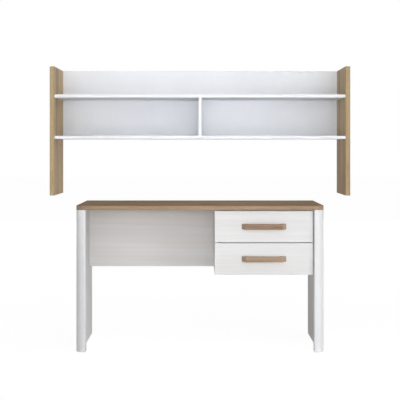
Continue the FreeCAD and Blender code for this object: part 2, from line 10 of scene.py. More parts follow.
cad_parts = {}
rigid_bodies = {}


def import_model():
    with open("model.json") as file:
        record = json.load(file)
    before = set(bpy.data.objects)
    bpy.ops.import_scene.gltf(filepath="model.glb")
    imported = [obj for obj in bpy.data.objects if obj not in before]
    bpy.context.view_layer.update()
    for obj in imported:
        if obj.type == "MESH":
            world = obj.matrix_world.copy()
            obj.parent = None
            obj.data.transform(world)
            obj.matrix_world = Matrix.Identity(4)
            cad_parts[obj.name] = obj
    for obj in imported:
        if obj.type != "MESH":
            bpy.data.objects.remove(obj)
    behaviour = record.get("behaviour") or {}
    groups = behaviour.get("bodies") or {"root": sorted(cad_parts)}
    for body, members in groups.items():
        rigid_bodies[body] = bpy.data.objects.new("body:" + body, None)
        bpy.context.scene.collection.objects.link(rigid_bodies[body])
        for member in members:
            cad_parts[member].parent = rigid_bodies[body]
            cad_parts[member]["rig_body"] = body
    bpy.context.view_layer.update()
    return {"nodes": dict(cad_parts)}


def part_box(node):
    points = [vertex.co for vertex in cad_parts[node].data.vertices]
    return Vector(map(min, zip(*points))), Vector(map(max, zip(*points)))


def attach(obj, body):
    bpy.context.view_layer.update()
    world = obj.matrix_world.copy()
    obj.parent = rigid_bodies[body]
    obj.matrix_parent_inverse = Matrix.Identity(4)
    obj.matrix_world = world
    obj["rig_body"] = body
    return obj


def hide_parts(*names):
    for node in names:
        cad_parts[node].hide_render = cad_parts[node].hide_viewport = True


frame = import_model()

LEVELS = ("upper", "lower")
SIDES = ("left", "right")

bl_info = {
    "name": "Student desk with hutch",
    "version": (1, 0, 0),
    "blender": (4, 5, 0),
    "location": "View3D > Sidebar > Student Desk",
    "description": "Laminates, handles, fittings and a studio stage for a desk with a wall-hung hutch",
    "category": "Object",
}


# Colours and settings that a user would change


def shade(red, green, blue):
    """A colour named by its screen values from 0 to 255, as the linear colour that shaders take."""
    linear = []
    for value in (red, green, blue):
        share = value / 255
        linear.append(share / 12.92 if share <= 0.04045 else ((share + 0.055) / 1.055) ** 2.4)
    return (*linear, 1.0)


def colour(name, description, default):
    return bpy.props.FloatVectorProperty(
        name=name, description=description, default=default, subtype="COLOR", size=4, min=0, max=1
    )


def length(name, description, default):
    return bpy.props.FloatProperty(
        name=name, description=description, default=default, subtype="DISTANCE", unit="LENGTH", min=0
    )


def amount(name, description, default):
    return bpy.props.FloatProperty(name=name, description=description, default=default, min=0)


def power(name, description, default):
    return bpy.props.FloatProperty(
        name=name, description=description, default=default, unit="POWER", min=0
    )


class DeskLaminates(bpy.types.PropertyGroup):
    oak_light: colour("Oak, light", "Early wood of the oak print", shade(209, 186, 150))
    oak_middle: colour("Oak, middle", "Ground colour of the oak print", shade(182, 157, 122))
    oak_dark: colour("Oak, dark", "Late wood and streaks of the oak print", shade(144, 117, 86))
    oak_pore: colour("Oak, pores", "Open pores of the oak print", shade(100, 78, 55))
    oak_straw: colour("Oak, straw", "Yellow bands of the oak print", shade(194, 170, 116))
    oak_rose: colour("Oak, rose", "Pinkish bands of the oak print", shade(172, 145, 122))
    oak_edging: colour("Oak edging", "Edging strips of the hutch's sides", shade(183, 161, 125))
    # The desk top's four colours are the oak print made darker: the darkening is painted shade on the desk
    # top and its front edge
    top_light_with_shade: colour("Desk top, light", "Early wood of the desk top", shade(186, 157, 120))
    top_middle_with_shade: colour("Desk top, middle", "Ground colour of the desk top", shade(164, 133, 98))
    top_dark_with_shade: colour("Desk top, dark", "Late wood and streaks of the desk top", shade(126, 96, 64))
    top_edging_with_shade: colour("Desk top edging", "Edging strips of the desk top", shade(168, 148, 130))
    handle_light: colour("Handles, light", "Early wood of the handles", shade(184, 158, 133))
    handle_middle: colour("Handles, middle", "Ground colour of the handles", shade(162, 136, 112))
    handle_dark: colour("Handles, dark", "Late wood and streaks of the handles", shade(124, 100, 82))
    # The handles' ends are painted paler than their front: painted light on these side-facing faces
    handle_ends_painted_light: colour("Handle ends", "Cut ends of the handles", shade(176, 158, 142))
    white_ground: colour("White grain, ground", "Ground of the white wood print", shade(237, 238, 240))
    white_streak: colour("White grain, streaks", "Streaks of the white wood print", shade(222, 219, 216))
    white_warm: colour("White grain, warm", "Warm bands of the white wood print", shade(234, 231, 227))
    white_cool: colour("White grain, cool", "Cool bands of the white wood print", shade(229, 233, 237))
    shelf_white: colour("Shelf white", "Plain white of the hutch shelves and back", shade(242, 244, 248))
    shelf_edging: colour("Shelf edging", "Edging strips of the hutch's shelves", shade(247, 248, 252))
    box_white: colour("Drawer box white", "Plain white of the drawer boxes", shade(232, 231, 227))
    fibre_brown: colour("Fibreboard", "Raw back of the thin sheets", shade(150, 122, 92))
    chip_light: colour("Chipboard, light", "Pale chips of the raw spacer boards", shade(205, 176, 134))
    chip_dark: colour("Chipboard, dark", "Dark chips of the raw spacer boards", shade(150, 117, 78))
    beech: colour("Beech", "Wooden dowels", shade(214, 182, 140))
    wear_width: length("Wear width", "Width of the rubbed band along a board's edges", 0.004)


class DeskFittings(bpy.types.PropertyGroup):
    steel: colour("Steel", "Zinc-plated runners, screws and hanger plates", shade(196, 198, 201))
    zinc: colour("Zinc", "Die-cast cam discs", shade(176, 178, 180))
    glide: colour("Glides", "Nylon floor glides", shade(226, 225, 220))
    handle_bar: length("Handle bar", "Thickness of a handle between its feet", 0.014)
    handle_end_slope: length("Handle end slope", "How far a handle's front is drawn in at each end", 0.020)
    handle_foot: length("Handle foot", "Length of each foot against the drawer front", 0.030)
    handle_inner_slope: length("Handle inner slope", "How far a foot's inner side leans", 0.010)
    handle_round: length("Handle rounding", "Radius of the handles' arrises", 0.003)


class DeskStage(bpy.types.PropertyGroup):
    eye_height: length("Eye height", "Height of the camera above the floor", 1.030)
    eye_distance: length("Eye distance", "Camera to the front edge of the desk top", 5.012)
    lens: bpy.props.FloatProperty(
        name="Lens", description="Focal length on a 36 mm sensor", default=89.55, unit="CAMERA", min=1
    )
    drop: bpy.props.FloatProperty(
        name="Drop", description="Upright shift of the lens, as a share of the frame", default=-0.1294
    )
    floor_half: length("Floor half", "Half the side of the floor", 30.0)
    low_power: power("Low lamp", "Wide soft lamp in front, near the floor", 40)
    middle_power: power("Middle lamp", "Wide soft lamp in front, above the eye", 5)
    hutch_power: power("Hutch lamp", "Narrow lamp in front that reaches into the hutch", 1.65)
    right_power: power("Right lamp", "Narrow lamp to the right, near the floor", 1.75)
    back_power: power("Back lamp", "Soft lamp far behind the object", 240)
    left_power: power("Left lamp", "Wide soft lamp to the left of the object", 7)
    surround: amount("Surround", "Strength of the white surround as it lights the object", 0.05)
    front_glow: amount("Front glow", "How much brighter the surround is in front of the object", 0.936)
    right_glow: amount("Right glow", "How much brighter the surround is to the right of the object", 0.5)
    floor_veil: amount("Floor veil", "Plain white that is laid over the floor's own shading", 0.93)
    floor_shading: amount("Floor shading", "How strongly the floor's shading and shadow are seen", 0.16)


# Shader graphs


class Graph:
    """A node tree with short ways to add nodes and join them."""

    def __init__(self, tree):
        self.tree = tree

    def add(self, kind, inputs=None, **settings):
        made = self.tree.nodes.new(kind)
        for name, value in settings.items():
            setattr(made, name, value)
        for name, value in (inputs or {}).items():
            self.feed(made.inputs[name], value)
        return made

    def feed(self, socket, value):
        if isinstance(value, bpy.types.NodeSocket):
            self.tree.links.new(value, socket)
        else:
            socket.default_value = value

    def sum(self, operation, first, second=0.5, third=0.5):
        made = self.add("ShaderNodeMath", operation=operation)
        for socket, value in zip(made.inputs, (first, second, third)):
            self.feed(socket, value)
        return made.outputs[0]

    def vector(self, operation, first, second):
        made = self.add("ShaderNodeVectorMath", operation=operation)
        self.feed(made.inputs[0], first)
        self.feed(made.inputs[1], second)
        return made.outputs[0]

    def noise(self, place, stretch, detail, roughness):
        spread = self.vector("MULTIPLY", place, stretch)
        made = self.add(
            "ShaderNodeTexNoise",
            {"Vector": spread, "Scale": 1.0, "Detail": detail, "Roughness": roughness},
        )
        return made.outputs[0]

    def ramp(self, value, low, high, start=0.0, end=1.0):
        made = self.add(
            "ShaderNodeMapRange",
            {"Value": value, "From Min": low, "From Max": high, "To Min": start, "To Max": end},
            interpolation_type="SMOOTHSTEP",
        )
        return made.outputs[0]

    def mix(self, share, first, second, blend="MIX"):
        made = self.add("ShaderNodeMix", data_type="RGBA", blend_type=blend)
        self.feed(made.inputs[0], share)
        self.feed(made.inputs[6], first)
        self.feed(made.inputs[7], second)
        return made.outputs[2]


def start_group(name, vectors, values, outputs):
    """An empty shader node group with named sockets, its graph and its two ends."""
    tree = bpy.data.node_groups.new(name, "ShaderNodeTree")
    for socket in vectors:
        tree.interface.new_socket(socket, in_out="INPUT", socket_type="NodeSocketVector")
    for socket in values:
        tree.interface.new_socket(socket, in_out="INPUT", socket_type="NodeSocketFloat")
    for socket in outputs:
        tree.interface.new_socket(socket, in_out="OUTPUT", socket_type="NodeSocketFloat")
    graph = Graph(tree)
    return graph, graph.add("NodeGroupInput").outputs, graph.add("NodeGroupOutput").inputs


# Noises of a wood print: changes in a metre along the grain and both ways across it, detail and roughness
RING_NOISE = ((0.5, 7.0, 7.0), 2.0, 0.45)
STREAK_NOISE = ((0.7, 70.0, 70.0), 5.0, 0.68)
FINE_NOISE = ((6.0, 300.0, 300.0), 2.0, 0.6)
PORE_NOISE = ((34.0, 1100.0, 1100.0), 1.0, 0.5)
BAND_NOISE = ((0.45, 11.0, 11.0), 3.0, 0.7)
# Where on a noise's scale pores and the two tinted bands begin, and where they are full
PORE_RANGE = (0.6, 0.72)
STRAW_RANGE = (0.5, 0.68)
ROSE_RANGE = (0.5, 0.32)
# How far the fine grain stands up in the relief, and how far pores sink
FINE_RISE = 0.6
PORE_SINK = -0.5


def wood_figure():
    """Rings, streaks and pores of a wood print whose grain runs along the first coordinate, in metres."""
    graph, given, out = start_group(
        "Wood figure",
        ["Place"],
        ["Ground", "Rings", "Ring Depth", "Streak Depth", "Fine Depth"],
        ["Tone", "Pores", "Height", "Straw", "Rose"],
    )
    place = given["Place"]
    drift = graph.noise(place, *RING_NOISE)
    turns = graph.sum("MULTIPLY", graph.sum("MULTIPLY", drift, given["Rings"]), 2 * math.pi)
    rings = graph.sum("SINE", turns)
    streaks = graph.sum("SUBTRACT", graph.noise(place, *STREAK_NOISE), 0.5)
    fine = graph.sum("SUBTRACT", graph.noise(place, *FINE_NOISE), 0.5)
    swing = graph.sum("MULTIPLY", rings, 0.5)
    tone = graph.sum("MULTIPLY_ADD", swing, given["Ring Depth"], given["Ground"])
    tone = graph.sum("MULTIPLY_ADD", streaks, given["Streak Depth"], tone)
    tone = graph.sum("MULTIPLY_ADD", fine, given["Fine Depth"], tone)
    pores = graph.ramp(graph.noise(place, *PORE_NOISE), *PORE_RANGE)
    height = graph.sum("MULTIPLY_ADD", fine, FINE_RISE, graph.sum("MULTIPLY", pores, PORE_SINK))
    bands = graph.noise(place, *BAND_NOISE)
    graph.feed(out["Straw"], graph.ramp(bands, *STRAW_RANGE))
    graph.feed(out["Rose"], graph.ramp(bands, *ROSE_RANGE))
    graph.feed(out["Tone"], tone)
    graph.feed(out["Pores"], pores)
    graph.feed(out["Height"], height)
    return graph.tree


# The noise that makes rubbed bands patchy, and their least and added share of the full width
WEAR_NOISE = ((60.0, 60.0, 60.0), 3.0, 0.6)
WEAR_LEAST = 0.1
WEAR_ADDED = 1.6


def rubbed_edges():
    """A mask that is 1 along a board's arrises, from the board's middle and half sizes in metres."""
    graph, given, out = start_group("Rubbed edges", ["Place", "Middle", "Half"], ["Width"], ["Wear"])
    away = graph.add("ShaderNodeVectorMath", operation="ABSOLUTE")
    graph.feed(away.inputs[0], graph.vector("SUBTRACT", given["Place"], given["Middle"]))
    left = graph.add("ShaderNodeSeparateXYZ")
    graph.feed(left.inputs[0], graph.vector("SUBTRACT", given["Half"], away.outputs[0]))
    x, y, z = left.outputs
    inner = graph.sum("MINIMUM", graph.sum("MAXIMUM", x, y), z)
    to_arris = graph.sum("MAXIMUM", graph.sum("MINIMUM", x, y), inner)
    patchy = graph.noise(given["Place"], *WEAR_NOISE)
    share = graph.sum("MULTIPLY_ADD", patchy, WEAR_ADDED, WEAR_LEAST)
    reach = graph.sum("MULTIPLY", given["Width"], share)
    wear = graph.sum("SUBTRACT", 1.0, graph.ramp(graph.sum("DIVIDE", to_arris, reach), 0.0, 1.0))
    graph.feed(out["Wear"], wear)
    return graph.tree


# Noises of a pressed face's fine texture and of its clouds
PRESSED_NOISE = ((700.0, 700.0, 700.0), 2.0, 0.55)
CLOUD_NOISE = ((5.0, 5.0, 5.0), 3.0, 0.55)


def pressed_skin():
    """The fine texture of a pressed melamine face, and the faint cloudiness of a wiped surface."""
    graph, given, out = start_group("Pressed skin", ["Place"], [], ["Height", "Cloud"])
    graph.feed(out["Height"], graph.noise(given["Place"], *PRESSED_NOISE))
    graph.feed(out["Cloud"], graph.noise(given["Place"], *CLOUD_NOISE))
    return graph.tree


def shared(build):
    """The node group that a function builds, made once."""
    if build.__name__ not in shared.made:
        shared.made[build.__name__] = build()
    return shared.made[build.__name__]


shared.made = {}


# How strongly each finish mirrors what faces it, on the shader's own scale
TOP_GLOSS = 0.01
OAK_GLOSS = 0.04
WHITE_GLOSS = 0.02

# How rough each finish is, and what its tones, pores, streaks and clouds add to that
OAK_ROUGHNESS = 0.58
OAK_TONE_ROUGHNESS = -0.12
OAK_PORE_ROUGHNESS = 0.1
GRAIN_ROUGHNESS = 0.46
GRAIN_STREAK_ROUGHNESS = 0.08
SHELF_ROUGHNESS = 0.42
BOX_ROUGHNESS = 0.45
GLIDE_ROUGHNESS = 0.5
CLOUD_ROUGHNESS = 0.14
LACQUER_ROUGHNESS = 0.42
FIBRE_ROUGHNESS = 0.8

# Strength of each finish's relief, and its depth in metres
OAK_RELIEF = (0.25, 0.0004)
GRAIN_RELIEF = (0.14, 0.0004)
PLAIN_RELIEF = (0.12, 0.0002)
SHEET_RELIEF = (0.15, 0.0003)
CHIP_RELIEF = (0.3, 0.0004)
BEECH_RELIEF = (0.2, 0.0002)
METAL_RELIEF = (0.08, 0.0002)

# Each wood print's figure: the rings that its slow drift runs through, and how deep its parts are
OAK_FIGURE = {"Rings": 8.0, "Ring Depth": 0.2, "Streak Depth": 1.0, "Fine Depth": 0.6}
GRAIN_FIGURE = {"Rings": 5.0, "Ring Depth": 0.1, "Streak Depth": 0.42, "Fine Depth": 0.12}
# Where the dark, middle and light tones of the oak lie on the figure's scale
OAK_STOPS = (0.18, 0.5, 0.82)
# How much shorter the oak print's streaks are than the white print's
OAK_SHORTENING = 1.6
# How strongly pores, arrises, edging strips, the handles' ends painted paler as painted light, and tinted
# bands show in the prints
OAK_PORES = 0.4
OAK_SEAM = 0.45
EDGING_AND_LIT_END_SHARE = 0.6
SIDE_TINT = 0.75
TOP_TINT = 0.2
HANDLE_TINT = 0.3
GRAIN_PORES = 0.3
GRAIN_SEAM = 0.3
GRAIN_TINT = 0.5
# Tones of the clouds in plain white, of pale fibres and of dull metal, as shares of the ground's
CLOUD_TONE = 0.965
FIBRE_TONE = 1.25
DULL_TONE = 0.78
# Where the white print turns from streak to ground, and plain white from ground to cloud
GRAIN_RANGE = (0.2, 0.75)
CLOUD_RANGE = (0.3, 0.7)
# How squarely a face looks along an axis where its edging begins and where it is full
EDGING_FACING = (0.4, 0.6)
# The wider range in which a sheet turns from its lacquered face to its raw back
BACK_FACING = (0.3, 0.6)

# Grain directions, as the turn that brings the grain to the first coordinate
GRAIN_TURNS = {"x": (0, 0, 0), "y": (0, 0, -math.pi / 2), "z": (0, math.pi / 2, 0)}


class Finish:
    """A new material with its Principled shader, object coordinates and groups."""

    def __init__(self, name, plain):
        self.material = bpy.data.materials.new(name)
        self.material.use_nodes = True
        tree = self.material.node_tree
        tree.nodes.clear()
        self.graph = Graph(tree)
        self.shader = self.graph.add("ShaderNodeBsdfPrincipled")
        for socket, value in plain.items():
            self.shader.inputs[socket].default_value = value
        output = self.graph.add("ShaderNodeOutputMaterial")
        tree.links.new(self.shader.outputs[0], output.inputs["Surface"])
        self.place = self.graph.add("ShaderNodeTexCoord").outputs["Object"]

    def group(self, build, inputs):
        made = self.graph.add("ShaderNodeGroup", node_tree=shared(build))
        for name, value in inputs.items():
            self.graph.feed(made.inputs[name], value)
        return made.outputs

    def grain_place(self, axis, offset, shorter=1.0):
        """Object coordinates turned so that the grain runs along the first, and drawn shorter along it."""
        turned_place = self.graph.add(
            "ShaderNodeMapping", {"Vector": self.place, "Location": offset, "Rotation": GRAIN_TURNS[axis]}
        )
        return self.graph.vector("MULTIPLY", turned_place.outputs[0], (shorter, 1.0, 1.0))

    def wear(self, node, width):
        low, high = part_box(node)
        inputs = {
            "Place": self.place, "Middle": (low + high) / 2, "Half": (high - low) / 2, "Width": width,
        }
        return self.group(rubbed_edges, inputs)["Wear"]

    def drift(self, node, axis, start, end):
        """A value that changes slowly from one end of a board's grain to the other."""
        low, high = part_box(node)
        along = "xyz".index(axis)
        parts = self.graph.add("ShaderNodeSeparateXYZ")
        self.graph.feed(parts.inputs[0], self.place)
        return self.graph.ramp(parts.outputs[along], low[along], high[along], start, end)

    def facing(self, axis):
        """1 where the surface faces along an axis either way, for edging strips and for the handles' ends,
        which are painted paler as painted light.
        """
        parts = self.graph.add("ShaderNodeSeparateXYZ")
        self.graph.feed(parts.inputs[0], self.graph.add("ShaderNodeNewGeometry").outputs["Normal"])
        return self.graph.ramp(self.graph.sum("ABSOLUTE", parts.outputs[axis]), *EDGING_FACING)

    def paint(self, base, roughness):
        self.graph.feed(self.shader.inputs["Base Color"], base)
        self.graph.feed(self.shader.inputs["Roughness"], roughness)

    def emboss(self, height, strength, depth):
        bump = self.graph.add("ShaderNodeBump", {"Height": height, "Strength": strength, "Distance": depth})
        self.graph.feed(self.shader.inputs["Normal"], bump.outputs[0])


def lay(material, *nodes):
    """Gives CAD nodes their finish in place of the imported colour."""
    for node in nodes:
        for slot in frame["nodes"][node].material_slots:
            slot.material = material


def oak_finish(name, node, axis, offset, colours, gloss, tint, edging):
    """Oak print: three tones with rings, streaks, tinted bands, dark pores, edging and darker arrises; on
    the handles the edging is their ends painted paler as painted light.
    """
    laminates = bpy.context.scene.desk_laminates
    light, middle, dark = colours
    finish = Finish(name, {"Specular IOR Level": gloss})
    graph = finish.graph
    figure = finish.group(wood_figure, {
        "Place": finish.grain_place(axis, offset, OAK_SHORTENING),
        "Ground": finish.drift(node, axis, *OAK_TONES[node]), **OAK_FIGURE,
    })
    tones = graph.add("ShaderNodeValToRGB", {"Fac": figure["Tone"]})
    ramp = tones.color_ramp
    low, centre, high = OAK_STOPS
    ramp.elements[0].position = low
    ramp.elements[0].color = dark
    ramp.elements[1].position = high
    ramp.elements[1].color = light
    ramp.elements.new(centre).color = middle
    base = graph.mix(graph.sum("MULTIPLY", figure["Straw"], tint), tones.outputs[0], laminates.oak_straw)
    base = graph.mix(graph.sum("MULTIPLY", figure["Rose"], tint), base, laminates.oak_rose)
    # Edging strips on the boards; on the handles, painted light that makes their side-facing ends paler
    side, strip, share = edging
    base = graph.mix(graph.sum("MULTIPLY", finish.facing(side), share), base, strip)
    base = graph.mix(graph.sum("MULTIPLY", figure["Pores"], OAK_PORES), base, laminates.oak_pore)
    seam = graph.sum("MULTIPLY", finish.wear(node, laminates.wear_width), OAK_SEAM)
    base = graph.mix(seam, base, dark)
    rough = graph.sum("MULTIPLY_ADD", figure["Tone"], OAK_TONE_ROUGHNESS, OAK_ROUGHNESS)
    finish.paint(base, graph.sum("MULTIPLY_ADD", figure["Pores"], OAK_PORE_ROUGHNESS, rough))
    finish.emboss(figure["Height"], *OAK_RELIEF)
    return finish.material


def white_grain_finish(name, node, axis, offset, ground):
    """White wood print: pale ground, long grey-beige streaks and an embossed grain."""
    laminates = bpy.context.scene.desk_laminates
    finish = Finish(name, {"Specular IOR Level": WHITE_GLOSS})
    graph = finish.graph
    figure = finish.group(wood_figure, {
        "Place": finish.grain_place(axis, offset), "Ground": ground, **GRAIN_FIGURE,
    })
    share = graph.ramp(figure["Tone"], *GRAIN_RANGE, 1.0, 0.0)
    warm = graph.sum("MULTIPLY", figure["Straw"], GRAIN_TINT)
    cool = graph.sum("MULTIPLY", figure["Rose"], GRAIN_TINT)
    base = graph.mix(warm, laminates.white_ground, laminates.white_warm)
    base = graph.mix(cool, base, laminates.white_cool)
    base = graph.mix(share, base, laminates.white_streak)
    pores = graph.sum("MULTIPLY", figure["Pores"], GRAIN_PORES)
    base = graph.mix(pores, base, laminates.white_streak)
    worn = graph.sum("MULTIPLY", finish.wear(node, laminates.wear_width), GRAIN_SEAM)
    base = graph.mix(worn, base, laminates.white_ground)
    rough = graph.sum("MULTIPLY_ADD", share, GRAIN_STREAK_ROUGHNESS, GRAIN_ROUGHNESS)
    finish.paint(base, rough)
    finish.emboss(figure["Height"], *GRAIN_RELIEF)
    return finish.material


def plain_white_finish(name, ground, roughness, edging=None):
    """Plain melamine: fine pressed texture, faint clouds in tone and gloss, and edging in front."""
    finish = Finish(name, {"Specular IOR Level": WHITE_GLOSS})
    graph = finish.graph
    skin = finish.group(pressed_skin, {"Place": finish.place})
    deeper = tuple(CLOUD_TONE * part for part in ground[:3]) + (1.0,)
    base = graph.mix(graph.ramp(skin["Cloud"], *CLOUD_RANGE), ground, deeper)
    if edging:
        base = graph.mix(finish.facing("Y"), base, edging)
    least = roughness - CLOUD_ROUGHNESS / 2
    finish.paint(base, graph.sum("MULTIPLY_ADD", skin["Cloud"], CLOUD_ROUGHNESS, least))
    finish.emboss(skin["Height"], *PLAIN_RELIEF)
    return finish.material


# Where each board's grain runs, and which part of the print the oak boards and the first of the others show
OAK_BOARDS = {"hutch_left_side": ("z", 31), "hutch_right_side": ("z", 48)}
DESK_TOP_PART = 7
FIRST_WHITE_PART = 8
FIRST_HANDLE_PART = 26
WHITE_GRAIN_BOARDS = {
    "left_front_post": "z", "right_front_post": "z", "left_side_panel": "z", "right_side_panel": "z",
    "modesty_panel": "x", "pedestal_left_side": "y", "pedestal_right_side": "y",
    "upper_drawer_front": "x", "lower_drawer_front": "x",
}
SHELF_BOARDS = (
    "hutch_upper_shelf", "hutch_lower_shelf", "hutch_divider", "hutch_back_panel", "pedestal_bottom",
)
CAM_BOLTS = ("desk_cam_bolts", "hutch_cam_bolts")
CAM_DISCS = ("desk_cam_discs", "hutch_cam_discs")
SCREWS = (
    "spacer_screws", "back_panel_screws", "case_rail_screws", "hanger_screws", "upper_handle_screws",
    "lower_handle_screws", "upper_rail_screws", "lower_rail_screws",
)
# How far apart two parts of a print lie, along the grain and both ways across it
GRAIN_STEPS = (1.37, 0.73, 0.41)
# How pale each print is at the two ends of its grain, on its scale from 0 to 1
OAK_TONES = {
    "hutch_left_side": (0.71, 0.88), "hutch_right_side": (0.38, 1.06), "desk_top": (0.45, 0.53),
    "upper_drawer_handle": (0.56, 0.44), "lower_drawer_handle": (0.68, 0.70),
}
# How pale the white print is on most boards, and on the boards that differ; the right side panel's darker
# print is painted shade
PANEL_TONE = 0.5
WHITE_TONES_AND_SHADE = {"left_front_post": 0.66, "right_front_post": 0.66, "right_side_panel": 0.3}


def grain_offset(index):
    """A place in the print of its own for each board, so that no two boards show the same figure."""
    return tuple(step * index for step in GRAIN_STEPS)


class STUDENTDESK_OT_oak_boards(bpy.types.Operator):
    """Lays the oak print on the desk top and the hutch's two sides"""

    bl_idname = "student_desk.oak_boards"
    bl_label = "Oak boards"

    def execute(self, context):
        laminates = context.scene.desk_laminates
        oak = (laminates.oak_light, laminates.oak_middle, laminates.oak_dark)
        edging = ("Y", laminates.oak_edging, EDGING_AND_LIT_END_SHARE)
        for node, (axis, part) in OAK_BOARDS.items():
            offset = grain_offset(part)
            lay(oak_finish(f"Oak {node}", node, axis, offset, oak, OAK_GLOSS, SIDE_TINT, edging), node)
        # The desk top takes a darker copy of the oak print, as painted shade
        top = (laminates.top_light_with_shade, laminates.top_middle_with_shade, laminates.top_dark_with_shade)
        edging = ("Y", laminates.top_edging_with_shade, EDGING_AND_LIT_END_SHARE)
        offset = grain_offset(DESK_TOP_PART)
        finish = oak_finish("Oak desk top with painted shade", "desk_top", "x", offset, top, TOP_GLOSS, TOP_TINT, edging)
        lay(finish, "desk_top")
        return {"FINISHED"}


class STUDENTDESK_OT_white_grain_boards(bpy.types.Operator):
    """Lays the white wood print on the posts, panels, drawer case and drawer fronts"""

    bl_idname = "student_desk.white_grain_boards"
    bl_label = "White grained boards"

    def execute(self, context):
        for index, (node, axis) in enumerate(WHITE_GRAIN_BOARDS.items()):
            # The right side panel's lower tone darkens its print as painted shade
            tone = WHITE_TONES_AND_SHADE.get(node, PANEL_TONE)
            offset = grain_offset(index + FIRST_WHITE_PART)
            lay(white_grain_finish(f"White grain {node}", node, axis, offset, tone), node)
        return {"FINISHED"}


class STUDENTDESK_OT_shelf_boards(bpy.types.Operator):
    """Lays plain white melamine on the hutch's shelves, divider and back, and the case bottom"""

    bl_idname = "student_desk.shelf_boards"
    bl_label = "White shelves"

    def execute(self, context):
        laminates = context.scene.desk_laminates
        for node in SHELF_BOARDS:
            edging = None if node == "hutch_back_panel" else laminates.shelf_edging
            finish = plain_white_finish(f"White {node}", laminates.shelf_white, SHELF_ROUGHNESS, edging)
            lay(finish, node)
        return {"FINISHED"}


class STUDENTDESK_OT_hidden_boards(bpy.types.Operator):
    """Finishes the drawer boxes, thin sheets, raw spacer boards and dowels"""

    bl_idname = "student_desk.hidden_boards"
    bl_label = "Drawer boxes and raw boards"

    def execute(self, context):
        laminates = context.scene.desk_laminates
        box = plain_white_finish("Drawer box white", laminates.box_white, BOX_ROUGHNESS)
        sheet = sheet_finish()
        lay(sheet, "pedestal_back")
        for level in LEVELS:
            lay(box, f"{level}_drawer_left_side", f"{level}_drawer_right_side", f"{level}_drawer_back")
            lay(sheet, f"{level}_drawer_bottom")
        lay(chip_finish(), "lower_case_spacer", "upper_case_spacer")
        dowels = ["desk_dowels", "hutch_dowels"] + [f"{level}_drawer_dowels" for level in LEVELS]
        lay(beech_finish(), *dowels)
        return {"FINISHED"}


# Noises of fibres, of their clouds and of a dowel's flecks, and where fibres and flecks change their tone
FIBRE_NOISE = ((420.0, 420.0, 420.0), 4.0, 0.7)
FIBRE_CLOUDS = ((9.0, 9.0, 9.0), 3.0, 0.6)
FLECK_NOISE = ((500.0, 500.0, 500.0), 3.0, 0.6)
FIBRE_RANGE = (0.35, 0.7)
FLECK_RANGE = (0.4, 0.7)
# How much the fibres' clouds show, and how many chips lie in a metre
CLOUD_SHARE = 0.35
CHIP_SCALE = 220.0
# What chips and flecks add to their board's roughness, and what it is without them
CHIP_ROUGHNESS = (0.15, 0.75)
FLECK_ROUGHNESS = (0.2, 0.5)


def sheet_finish():
    """Thin fibreboard: white lacquer on its face, raw brown fibres on its back and underside."""
    laminates = bpy.context.scene.desk_laminates
    finish = Finish("Fibre sheet", {"Specular IOR Level": WHITE_GLOSS})
    graph = finish.graph
    fibres = graph.noise(finish.place, *FIBRE_NOISE)
    clouds = graph.noise(finish.place, *FIBRE_CLOUDS)
    pale = tuple(FIBRE_TONE * part for part in laminates.fibre_brown[:3]) + (1.0,)
    raw = graph.mix(graph.ramp(fibres, *FIBRE_RANGE), laminates.fibre_brown, pale)
    raw = graph.mix(graph.sum("MULTIPLY", clouds, CLOUD_SHARE), raw, laminates.chip_dark)
    facing = graph.add("ShaderNodeSeparateXYZ")
    graph.feed(facing.inputs[0], graph.add("ShaderNodeNewGeometry").outputs["Normal"])
    behind = graph.ramp(facing.outputs["Y"], *BACK_FACING)
    below = graph.ramp(graph.sum("MULTIPLY", facing.outputs["Z"], -1.0), *BACK_FACING)
    back = graph.sum("MAXIMUM", behind, below)
    rough = graph.ramp(back, 0.0, 1.0, LACQUER_ROUGHNESS, FIBRE_ROUGHNESS)
    finish.paint(graph.mix(back, laminates.box_white, raw), rough)
    finish.emboss(fibres, *SHEET_RELIEF)
    return finish.material


def chip_finish():
    """Raw chipboard: flattened chips of two tones."""
    laminates = bpy.context.scene.desk_laminates
    finish = Finish("Raw chipboard", {"Specular IOR Level": WHITE_GLOSS})
    graph = finish.graph
    chips = graph.add("ShaderNodeTexVoronoi", {"Vector": finish.place, "Scale": CHIP_SCALE})
    parts = graph.add("ShaderNodeSeparateXYZ")
    graph.feed(parts.inputs[0], chips.outputs["Color"])
    base = graph.mix(parts.outputs["X"], laminates.chip_dark, laminates.chip_light)
    finish.paint(base, graph.sum("MULTIPLY_ADD", parts.outputs["Y"], *CHIP_ROUGHNESS))
    finish.emboss(chips.outputs["Distance"], *CHIP_RELIEF)
    return finish.material


def beech_finish():
    """Beech dowels: pale wood with short darker flecks."""
    laminates = bpy.context.scene.desk_laminates
    finish = Finish("Beech dowel", {"Specular IOR Level": WHITE_GLOSS})
    graph = finish.graph
    flecks = graph.noise(finish.place, *FLECK_NOISE)
    base = graph.mix(graph.ramp(flecks, *FLECK_RANGE), laminates.beech, laminates.oak_dark)
    finish.paint(base, graph.sum("MULTIPLY_ADD", flecks, *FLECK_ROUGHNESS))
    finish.emboss(flecks, *BEECH_RELIEF)
    return finish.material


# How often each metal's fine lines change in a metre along x, y and z, and how rough it is without them
DRAWN_STRIP = ((900.0, 6.0, 900.0), 0.24)
TURNED_STEEL = ((700.0, 700.0, 700.0), 0.2)
CAST_ZINC = ((500.0, 500.0, 500.0), 0.36)
# Detail and roughness of the lines' noise, the noise of clouds, and where these turn dull
LINE_DETAIL = (3.0, 0.6)
METAL_CLOUDS = ((40.0, 40.0, 40.0), 3.0, 0.6)
DULL_RANGE = (0.35, 0.7)
LINE_ROUGHNESS = 0.25


